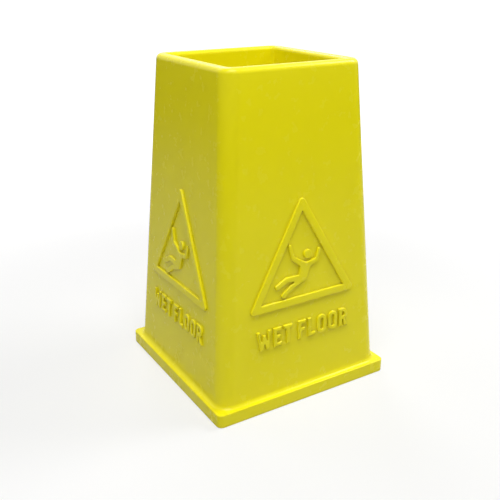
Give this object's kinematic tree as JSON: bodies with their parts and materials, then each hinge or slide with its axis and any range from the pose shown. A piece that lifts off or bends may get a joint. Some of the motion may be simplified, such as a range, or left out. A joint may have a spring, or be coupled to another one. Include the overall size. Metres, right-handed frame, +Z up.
{
  "type": "wet floor sign",
  "caption": "Free-standing four-sided wet floor sign: a tapered square tower, open at top and bottom, on a flanged foot, with raised warning marks on every side.",
  "frame": {"origin": "on the floor, under the centre of the tower", "axes": "+Z up the tower's axis, -Y out of the front wall, +X out of the right wall"},
  "size_m": [0.3106, 0.3106, 0.5],
  "materials": {
    "yellow_plastic": "satin, smooth moulded",
    "ballast_rubber": "matt, faint grain",
    "foot_rubber": "matt",
    "screw_steel": "zinc plated"
  },
  "bodies": {
    "root": {"tower_shell": "yellow_plastic", "warning_triangle_front": "yellow_plastic", "slip_figure_body_front": "yellow_plastic", "slip_figure_head_front": "yellow_plastic", "letter_front_1_w": "yellow_plastic", "letter_front_2_e": "yellow_plastic", "letter_front_3_t": "yellow_plastic", "letter_front_4_f": "yellow_plastic", "letter_front_5_l": "yellow_plastic", "letter_front_6_o": "yellow_plastic", "letter_front_7_o": "yellow_plastic", "letter_front_8_r": "yellow_plastic", "warning_triangle_right": "yellow_plastic", "slip_figure_body_right": "yellow_plastic", "slip_figure_head_right": "yellow_plastic", "letter_right_1_w": "yellow_plastic", "letter_right_2_e": "yellow_plastic", "letter_right_3_t": "yellow_plastic", "letter_right_4_f": "yellow_plastic", "letter_right_5_l": "yellow_plastic", "letter_right_6_o": "yellow_plastic", "letter_right_7_o": "yellow_plastic", "letter_right_8_r": "yellow_plastic", "warning_triangle_back": "yellow_plastic", "slip_figure_body_back": "yellow_plastic", "slip_figure_head_back": "yellow_plastic", "letter_back_1_w": "yellow_plastic", "letter_back_2_e": "yellow_plastic", "letter_back_3_t": "yellow_plastic", "letter_back_4_f": "yellow_plastic", "letter_back_5_l": "yellow_plastic", "letter_back_6_o": "yellow_plastic", "letter_back_7_o": "yellow_plastic", "letter_back_8_r": "yellow_plastic", "warning_triangle_left": "yellow_plastic", "slip_figure_body_left": "yellow_plastic", "slip_figure_head_left": "yellow_plastic", "letter_left_1_w": "yellow_plastic", "letter_left_2_e": "yellow_plastic", "letter_left_3_t": "yellow_plastic", "letter_left_4_f": "yellow_plastic", "letter_left_5_l": "yellow_plastic", "letter_left_6_o": "yellow_plastic", "letter_left_7_o": "yellow_plastic", "letter_left_8_r": "yellow_plastic", "ballast_ring": "ballast_rubber", "foot_front_right": "foot_rubber", "foot_back_right": "foot_rubber", "foot_back_left": "foot_rubber", "foot_front_left": "foot_rubber", "ring_screw_front": "screw_steel", "ring_screw_right": "screw_steel", "ring_screw_back": "screw_steel", "ring_screw_left": "screw_steel"}
  },
  "joints": []
}
